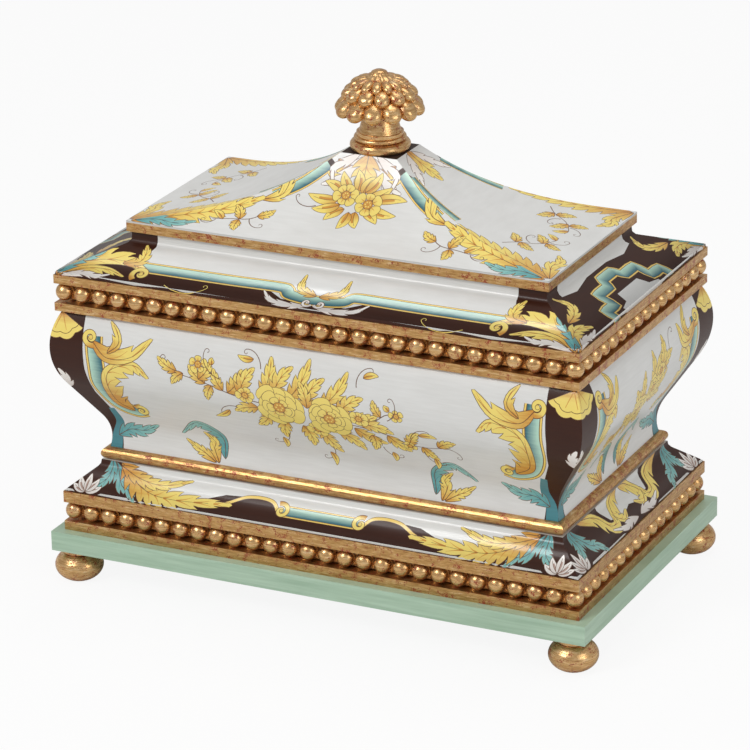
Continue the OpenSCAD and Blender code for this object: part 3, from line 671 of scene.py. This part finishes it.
def ramp(tree, factor, stops):
    node = addNode(tree, "ShaderNodeValToRGB", None, Fac=factor)
    while len(node.color_ramp.elements) < len(stops):
        node.color_ramp.elements.new(0.5)
    for element, (at, colour) in zip(node.color_ramp.elements, stops):
        element.position = at
        element.color = linear(colour)
    return node.outputs["Color"]


def bumped(tree, shader, height, depthMm):
    bump = addNode(tree, "ShaderNodeBump", None, Height=height, Distance=depthMm * mm, Strength=1.0)
    tree.links.new(bump.outputs["Normal"], shader.inputs["Normal"])


# Varnished gouache: hand-mixed colour brushed on, faded along each motif, under spirit varnish.
# The eye sees soft level brush strokes under a satin gloss; the dark ground shines less.
paints = {
    "ground": ("#C9C8C4", "#E9E9E7"), "umber": ("#2A1008", "#43200F"), "line": ("#54300F", "#6A3F18"),
    "leaf": ("#CB8A28", "#EED66E"), "gold": ("#E9BE4C", "#F5DA78"), "amber": ("#BE7B22", "#D99E3A"),
    "teal": ("#4E979A", "#93C7BE"), "tealDeep": ("#236873", "#4A8F98"), "wash": ("#1C6371", "#B3D8C4"),
    "white": ("#D9CFC8", "#F4F0EA"), "greige": ("#A07C6E", "#C4AA9E"),
}
gouache = {"strokes": (60, 60, 700), "clouds": 45.0,  # per metre: a stroke is 17 mm long and 1.4 mm wide
           "strokeShare": 0.5, "cloudShare": 0.3, "darker": 0.4, "roughness": 0.42, "varnishRoughness": 0.16,
           "ridgeMm": 0.03, "shine": {"umber": (0.2, 0.15), "other": (0.5, 0.4)},  # specular level, coat
           "paleAt": {"leaf": 0.55, "other": 1.0}}  # how far along the fade a paint reaches its pale colour


def paintMaterial(name):
    low, high = paints[name]
    material, tree, shader, place = newMaterial("varnished_gouache_" + name)
    tone = addNode(tree, "ShaderNodeAttribute", {"attribute_name": "tone"}).outputs["Fac"]
    strokes = noise(tree, place, gouache["strokes"], Detail=4.0)
    clouds = noise(tree, place, gouache["clouds"], Detail=3.0)
    mixed = maths(tree, "MULTIPLY_ADD", strokes, gouache["strokeShare"], tone)
    mixed = maths(tree, "MULTIPLY_ADD", clouds, gouache["cloudShare"], mixed)
    shade = maths(tree, "SUBTRACT", mixed, gouache["darker"])
    pale = gouache["paleAt"].get(name, gouache["paleAt"]["other"])
    tree.links.new(ramp(tree, shade, ((0.0, low), (pale, high))), shader.inputs["Base Color"])
    level, coat = gouache["shine"].get(name, gouache["shine"]["other"])
    setShader(shader, Roughness=gouache["roughness"], Specular_IOR_Level=level, Coat_Weight=coat,
              Coat_Roughness=gouache["varnishRoughness"])
    bumped(tree, shader, strokes, gouache["ridgeMm"])
    return material


# Water gilding: gold leaf laid on red clay, then rubbed.
# The eye sees warm metal with fine level streaks, and red specks where the clay shows through.
gilding = {"streaks": (150, 150, 1500), "specks": 1400.0, "clouds": 260.0,  # per metre
           "stops": (0.3, 0.55, 0.75), "wornSpan": 0.035, "clay": "#93371B", "metallic": (0.92, 0.1),
           "roughnessSpan": (-0.08, 0.14), "ridgeMm": 0.06}


def gildedMaterial(name, colours, wear, roughness):
    material, tree, shader, place = newMaterial(name)
    streaks = noise(tree, place, gilding["streaks"], Detail=6.0, Roughness=0.75)
    specks = noise(tree, place, gilding["specks"], Detail=3.0, Roughness=0.7)
    clouds = noise(tree, place, gilding["clouds"], Detail=3.0)
    rubbed = maths(tree, "MULTIPLY", specks, clouds)
    worn = spanned(tree, rubbed, From_Min=wear, From_Max=wear + gilding["wornSpan"])
    colour = addNode(tree, "ShaderNodeMix", {"data_type": "RGBA"}, i0=worn,
                     i6=ramp(tree, streaks, tuple(zip(gilding["stops"], colours))), i7=linear(gilding["clay"]))
    tree.links.new(colour.outputs[2], shader.inputs["Base Color"])
    metallic, clay = gilding["metallic"]
    tree.links.new(spanned(tree, worn, To_Min=metallic, To_Max=clay), shader.inputs["Metallic"])
    low, high = gilding["roughnessSpan"]
    rough = spanned(tree, streaks, To_Min=roughness + low, To_Max=roughness + high)
    tree.links.new(rough, shader.inputs["Roughness"])
    bumped(tree, shader, maths(tree, "ADD", specks, streaks), gilding["ridgeMm"])
    return material


def plainMaterial(name, low, high, roughness, perMetre, ridgeMm, metallic=0.0, coat=0.0, sheen=0.0):
    # One pigment or metal with the streaks or nap that its making leaves
    material, tree, shader, place = newMaterial(name)
    grain = noise(tree, place, perMetre, Detail=5.0, Roughness=0.6)
    tree.links.new(ramp(tree, grain, ((0.3, low), (0.7, high))), shader.inputs["Base Color"])
    rough = spanned(tree, grain, To_Min=roughness - 0.06, To_Max=roughness + 0.1)
    tree.links.new(rough, shader.inputs["Roughness"])
    setShader(shader, Metallic=metallic, Coat_Weight=coat, Coat_Roughness=0.2, Sheen_Weight=sheen)
    bumped(tree, shader, grain, ridgeMm)
    return material


# Mouldings: leaf left as laid, so the shine is soft
fillet = gildedMaterial("water_gilded_fillet", ("#94693A", "#D0A469", "#F8E4BC"), 0.30, 0.3)
# Beads, feet and finial: leaf burnished with a stone, so the highlights are sharper and paler
burnished = gildedMaterial("burnished_gilded_turning", ("#AE7E4A", "#E2B880", "#FCE9C4"), 0.312, 0.25)
# Board brushed with eggshell paint: a soft green with long faint brush marks
celadon = plainMaterial("eggshell_painted_board", "#9AB79E", "#B3CDB6", 0.42, (25, 25, 500), 0.03, coat=0.2)
# Limewood stained dark: a dull brown with fine grain
bareWood = plainMaterial("stained_limewood", "#241512", "#3A241C", 0.6, (60, 60, 700), 0.08)
# Woven cotton velvet: a dark green with a fine nap that lightens at grazing angles
velvet = plainMaterial("cotton_velvet", "#123A37", "#1F524B", 0.85, (2200, 2200, 2200), 0.2, sheen=0.6)
# Rolled brass: a yellow metal with fine rolling marks
brass = plainMaterial("rolled_brass", "#9C7A3A", "#C6A45C", 0.3, (900, 60, 60), 0.02, metallic=1.0)
# Drawn steel: a grey metal with marks along the rod
steel = plainMaterial("drawn_steel", "#7C7E82", "#A2A5A9", 0.32, (900, 900, 60), 0.02, metallic=1.0)
painted = {name: paintMaterial(name) for name in paints}
print("materials ready")

slotFinish = {"decorated_lacquer": painted["ground"], "gilding": fillet, "celadon_paint": celadon,
              "bare_wood": bareWood, "velvet": velvet, "brass": brass, "steel": steel}
slotOf = {entry["node"]: entry["material_slot"] for entry in frame["record"]["subparts"]}
turned = ("foot_front", "foot_back", "finial")  # gilded pieces that come off a lathe
for name, thing in frame["nodes"].items():
    finish = slotFinish[slotOf[name]]
    if "beads" in name or name.startswith(turned) and slotOf[name] == "gilding":
        finish = burnished
    for slot in thing.material_slots:
        slot.material = finish
print("solids dressed")

# Carved crown of the finial in millimetres and degrees: three rows of drooping petals, a fluted button
petalRows = (
    {"count": 12, "ring": 18.9, "z": 286.0, "length": 8.4, "width": 5.6, "thick": 4.5, "tilt": 40, "shift": 15},
    {"count": 12, "ring": 16.0, "z": 293.2, "length": 6.6, "width": 4.6, "thick": 3.7, "tilt": 30, "shift": 0},
    {"count": 14, "ring": 11.6, "z": 298.5, "length": 6.0, "width": 2.8, "thick": 2.6, "tilt": 22, "shift": 6})
petalShape = {"around": 20, "rings": 12, "heavyTip": 0.22, "crease": 0.10, "creaseWidth": 0.3}
button = {"profile": ((0.5, 289.0), (9, 289.0), (13.0, 292), (12.6, 296), (10.4, 299.5), (7.2, 301.9),
                      (5.3, 302.8), (4.9, 303.6), (4.3, 304.8), (2.6, 305.6), (0.4, 305.75)),
          "around": 84, "flutes": 14, "fluteDepth": 0.05, "fluteBeyond": 4.5, "fluteAbove": 295}


def petalMesh(verts, faces, row, turn):
    # One petal: an egg that leans outwards and hangs down, with a crease along its middle
    around, rings = petalShape["around"], petalShape["rings"]
    length, width, thick = row["length"], row["width"], row["thick"]
    start = len(verts)
    out = np.array([math.cos(turn), math.sin(turn), 0])
    side = np.array([-math.sin(turn), math.cos(turn), 0])
    lean = math.radians(row["tilt"])
    run = out * math.cos(lean) + np.array([0, 0, -math.sin(lean)])
    face = out * math.sin(lean) + np.array([0, 0, math.cos(lean)])
    centre = out * row["ring"] + np.array([0, 0, row["z"]])
    verts.append(centre - run * length)
    for i in range(1, rings):
        t = math.pi * i / rings
        girth = math.sin(t) * (1 + petalShape["heavyTip"] * math.cos(math.pi - t))
        for k in range(around):
            a = 2 * math.pi * k / around
            dip = math.exp(-(((a - math.pi / 2) / petalShape["creaseWidth"]) ** 2))
            crease = 1 - petalShape["crease"] * dip
            verts.append(centre - run * length * math.cos(t) + side * width * girth * math.cos(a)
                         + face * thick * girth * math.sin(a) * crease)
    verts.append(centre + run * length)
    last = len(verts) - 1
    for k in range(around):
        n = (k + 1) % around
        faces.append((start, start + 1 + n, start + 1 + k))
        for i in range(rings - 2):
            a, b = start + 1 + i * around, start + 1 + (i + 1) * around
            faces.append((a + k, a + n, b + n, b + k))
        faces.append((last - around + k, last - around + n, last))


def buttonMesh():
    verts, faces = [], []
    profile, around = button["profile"], button["around"]
    for r, z in profile:
        fluted = r > button["fluteBeyond"] and z > button["fluteAbove"]
        for k in range(around):
            a = 2 * math.pi * k / around
            flute = 1 + (button["fluteDepth"] * math.cos(button["flutes"] * a) if fluted else 0)
            verts.append(np.array([r * flute * math.cos(a), r * flute * math.sin(a), z]))
    for i in range(len(profile) - 1):
        for k in range(around):
            n = (k + 1) % around
            faces.append((i * around + k, i * around + n, (i + 1) * around + n, (i + 1) * around + k))
    faces.append(tuple(range(around))[::-1])
    faces.append(tuple((len(profile) - 1) * around + k for k in range(around)))
    return verts, faces


def meshPiece(name, verts, faces, body, material):
    mesh = bpy.data.meshes.new(name)
    mesh.from_pydata([tuple(v * mm) for v in verts], [], faces)
    mesh.polygons.foreach_set("use_smooth", [True] * len(mesh.polygons))
    mesh.materials.append(material)
    piece = bpy.data.objects.new(name, mesh)
    bpy.context.scene.collection.objects.link(piece)
    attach(piece, body)
    return piece


for row, petals in enumerate(petalRows):
    verts, faces = [], []
    for i in range(petals["count"]):
        petalMesh(verts, faces, petals, math.radians(petals["shift"] + 360 * i / petals["count"]))
    piece = meshPiece(f"carved_petal_row_{row + 1}", verts, faces, "lid", burnished)
    if row < 2:
        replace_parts(piece, ("finial_lower_petals", "finial_upper_petals")[row])
verts, faces = buttonMesh()
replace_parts(meshPiece("carved_fluted_button", verts, faces, "lid", burnished), "finial_cap")
print("finial carved")

# Paint films: closed skins that carry the ornament and sit over the panels, in millimetres
film = {"proud": 0.12, "thick": 0.2, "weld": 1e-4, "sliver": 1e-7}
bakeMap = {"middle": 0.5, "half": 0.49, "low": 0.01, "high": 0.9,  # the face fills most of the map
           "backLow": 0.94, "backHigh": 0.05}  # back and rim share a strip above it


def inside(points, polygon):
    # Which points the polygon winds round
    winding = np.zeros(len(points), int)
    x, y = points[:, 0], points[:, 1]
    for (x0, y0), (x1, y1) in zip(polygon, np.roll(polygon, -1, 0)):
        if y0 == y1:
            continue
        left = (x1 - x0) * (y - y0) - (x - x0) * (y1 - y0)
        if y1 > y0:
            winding += (y0 <= y) & (y < y1) & (left > 0)
        else:
            winding -= (y1 <= y) & (y < y0) & (left < 0)
    return winding != 0


def sheetTriangles(sheet, skin):
    # Triangles of the sheet, cut along every painted outline and along level lines
    points, edges = [], []

    def chain(path, closed=True):
        start = len(points)
        points.extend(Vector(p) for p in path)
        count = len(path)
        edges.extend((start + i, start + (i + 1) % count) for i in range(count if closed else count - 1))

    levels = np.linspace(0, skin.height, max(2, int(skin.height / skin.lineStep) + 1))
    limits = skin.at(levels, skin.limit)
    rim = np.concatenate([np.stack([limits, levels], 1), np.stack([-limits, levels], 1)[::-1]])
    chain(rim)
    for v, u in zip(levels[1:-1], limits[1:-1]):
        chain([(-u, v), (u, v)], False)
    for shape, paint, fade in sheet.shapes:
        chain(shape)
    verts, _, faces, _, _, _ = delaunay_2d_cdt(points, edges, [], 0, film["weld"])
    flat = np.array([tuple(v) for v in verts])
    tris = np.array([f for f in faces if len(f) == 3])
    a, b, c = flat[tris[:, 0]], flat[tris[:, 1]], flat[tris[:, 2]]
    area = (b[:, 0] - a[:, 0]) * (c[:, 1] - a[:, 1]) - (c[:, 0] - a[:, 0]) * (b[:, 1] - a[:, 1])
    tris[area < 0] = tris[area < 0][:, ::-1]
    middle = (a + b + c) / 3
    keep = inside(middle, rim) & (np.abs(area) > film["sliver"])
    return flat, tris[keep], middle[keep]


def paintTriangles(sheet, flat, tris, middle, kinds):
    # The last shape painted over a triangle gives its paint, and its fade gives the tone of each corner
    kind = np.zeros(len(tris), int)
    tone = np.full((len(tris), 3), 0.5)
    free = np.ones(len(tris), bool)
    for shape, paint, fade in reversed(sheet.shapes):
        low, high = shape.min(0), shape.max(0)
        near = np.where(free & (middle >= low).all(1) & (middle <= high).all(1))[0]
        hit = near[inside(middle[near], shape)] if len(near) else near
        free[hit] = False
        kind[hit] = kinds.index(paint)
        if isinstance(fade, float):
            tone[hit] = fade
        elif fade is not None:
            run = fade[1] - fade[0]
            tone[hit] = np.clip(((flat[tris[hit]] - fade[0]) @ run) / max(run @ run, 1e-6), 0, 1)
    return kind, tone


def bakeSpread(flat, corner, faceCorners, height):
    wide = np.abs(flat[:, 0]).max()
    u = bakeMap["middle"] + bakeMap["half"] * flat[:, 0] / wide
    face = np.stack([u, bakeMap["low"] + bakeMap["high"] * flat[:, 1] / height], 1)
    back = np.stack([u, bakeMap["backLow"] + bakeMap["backHigh"] * flat[:, 1] / height], 1)
    spread = np.concatenate([face, back])[corner]
    spread[faceCorners:] = np.concatenate([back, back])[corner[faceCorners:]]
    return spread


def paintFilm(name, body, skin, draw):
    sheet = Sheet()
    draw(sheet, skin)
    kinds = ["ground"] + sorted({paint for _, paint, _ in sheet.shapes})
    flat, tris, middle = sheetTriangles(sheet, skin)
    kind, tone = paintTriangles(sheet, flat, tris, middle, kinds)
    used, index = np.unique(tris, return_inverse=True)
    tris, flat = index.reshape(-1, 3), flat[used]
    outer, normals = skin.place(flat, film["proud"])
    inner, _ = skin.place(flat, film["proud"] - film["thick"])
    count = len(flat)
    sides = np.concatenate([tris[:, [0, 1]], tris[:, [1, 2]], tris[:, [2, 0]]])
    sides = dict.fromkeys((i, j) for i, j in sides.tolist())
    rimFaces = [[j, i, i + count, j + count] for i, j in sides if (j, i) not in sides]
    allFaces = tris.tolist() + (tris[:, ::-1] + count).tolist() + rimFaces
    mesh = bpy.data.meshes.new(name)
    mesh.from_pydata((np.concatenate([outer, inner]) * mm).tolist(), [], allFaces)
    slots = np.zeros(len(allFaces), int)
    slots[:len(tris)] = kind
    mesh.polygons.foreach_set("material_index", slots)
    for paint in kinds:
        mesh.materials.append(painted[paint])
    mesh.polygons.foreach_set("use_smooth", np.arange(len(allFaces)) < len(tris))
    loops = np.full(len(mesh.loops), 0.5)
    loops[:tris.size] = tone.ravel()
    mesh.attributes.new("tone", "FLOAT", "CORNER").data.foreach_set("value", loops)
    corner = np.zeros(len(mesh.loops), int)
    mesh.loops.foreach_get("vertex_index", corner)
    spread = bakeSpread(flat, corner, tris.size, skin.height)
    mesh.uv_layers.new(name="OFBake").data.foreach_set("uv", spread.ravel())
    mesh.normals_split_custom_set_from_vertices(np.concatenate([normals, -normals]).tolist())
    piece = bpy.data.objects.new(name, mesh)
    bpy.context.scene.collection.objects.link(piece)
    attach(piece, body)
    print("painted", name, len(tris), "triangles", len(sheet.shapes), "shapes")


for side, place in enumerate(("front", "right", "back", "left")):
    long = side % 2 == 0
    across, flatEnd = (1, roofFlat[0]) if long else (0, roofFlat[1])
    reach = half[across] - roofShape["rimInset"] - roofFlat[across]
    roof = Skin(roofOutline(reach, **roofShape), side, flatEnd)
    lid = Skin(coveOutline(lidCoveZ, **lidCove), side)
    wall = Skin(bodyOutline(**bodyShape), side)
    foot = Skin(coveOutline(footCoveZ, **footCove), side)
    paintFilm("painted_roof_" + place, "lid", roof, roofLong if long else roofShort)
    paintFilm("painted_lid_cove_" + place, "lid", lid, lidLong if long else lidShort)
    paintFilm("painted_body_" + place, "case", wall, bodyLong if long else bodyShort)
    paintFilm("painted_foot_cove_" + place, "case", foot, footLong if long else footShort)

# Camera solved from the casket's corners: radians, metres, and half lengths of the board for distance and aim
view = {"azimuth": 0.451764, "elevation": 0.367736, "roll": -0.017212, "halfLength": 0.17, "distance": 14.43618,
        "aimX": -0.040863, "aimY": 0.549173, "base": 0.0195, "focalPx": 4138.43, "picturePx": 750,
        "sensorMm": 36, "clip": (0.05, 50)}
az, el, roll = view["azimuth"], view["elevation"], view["roll"]
back = Vector((math.sin(az) * math.cos(el), -math.cos(az) * math.cos(el), math.sin(el)))
right = Vector((math.cos(az), math.sin(az), 0))
up = back.cross(right)
axisX = math.cos(roll) * right + math.sin(roll) * up
axisY = math.cos(roll) * up - math.sin(roll) * right
target = (axisX * view["aimX"] + axisY * view["aimY"]) * view["halfLength"] + Vector((0, 0, view["base"]))
camera = bpy.data.objects.new("camera", bpy.data.cameras.new("camera"))
spot = target + back * view["distance"] * view["halfLength"]
camera.matrix_world = Matrix.Translation(spot) @ Matrix((axisX, axisY, back)).transposed().to_4x4()
camera.data.lens = view["focalPx"] * view["sensorMm"] / view["picturePx"]
camera.data.sensor_width = view["sensorMm"]
camera.data.clip_start, camera.data.clip_end = view["clip"]
bpy.context.scene.collection.objects.link(camera)
bpy.context.scene.camera = camera

# Pale paper: matt white that glows to the camera, so it fades into the background
paper = {"size": 12, "grey": 0.8, "roughness": 0.9, "glowShare": 0.9}
bpy.ops.mesh.primitive_plane_add(size=paper["size"], location=(0, 0, 0))
floor = bpy.context.object
floor.name = "floor"
material, tree, shader, place = newMaterial("pale_seamless_paper")
setShader(shader, Base_Color=(paper["grey"], paper["grey"], paper["grey"], 1), Roughness=paper["roughness"])
glow = addNode(tree, "ShaderNodeEmission", None, Color=(1, 1, 1, 1), Strength=1.0)
ray = addNode(tree, "ShaderNodeLightPath")
share = maths(tree, "MULTIPLY", ray.outputs["Is Camera Ray"], paper["glowShare"])
blend = addNode(tree, "ShaderNodeMixShader", None, i0=share, i1=shader.outputs[0], i2=glow.outputs[0])
tree.links.new(blend.outputs[0], tree.nodes["Material Output"].inputs["Surface"])
floor.data.materials.append(material)

# Soft studio light: an even white sky and three square lamps aimed at the casket's middle
sky = 0.5
middleHeight = 0.14  # metres
lamps = {"key": {"place": (-0.7, -1.5, 1.5), "watts": 16, "size": 0.6},
         "fill": {"place": (1.8, -0.7, 0.9), "watts": 7, "size": 0.8},
         "top": {"place": (0.1, 0.4, 1.9), "watts": 7, "size": 0.9}}
bpy.context.scene.view_settings.view_transform = "Standard"
world = bpy.data.worlds.new("soft studio")
bpy.context.scene.world = world
world.use_nodes = True
world.node_tree.nodes["Background"].inputs["Color"].default_value = (1, 1, 1, 1)
world.node_tree.nodes["Background"].inputs["Strength"].default_value = sky
for name, lamp in lamps.items():
    light = bpy.data.objects.new(name, bpy.data.lights.new(name, "AREA"))
    light.data.energy, light.data.size = lamp["watts"], lamp["size"]
    light.location = lamp["place"]
    aim = Vector((0, 0, middleHeight)) - Vector(lamp["place"])
    light.rotation_euler = aim.to_track_quat("-Z", "Y").to_euler()
    bpy.context.scene.collection.objects.link(light)
print("camera, floor and light placed")

bpy.context.view_layer.update()
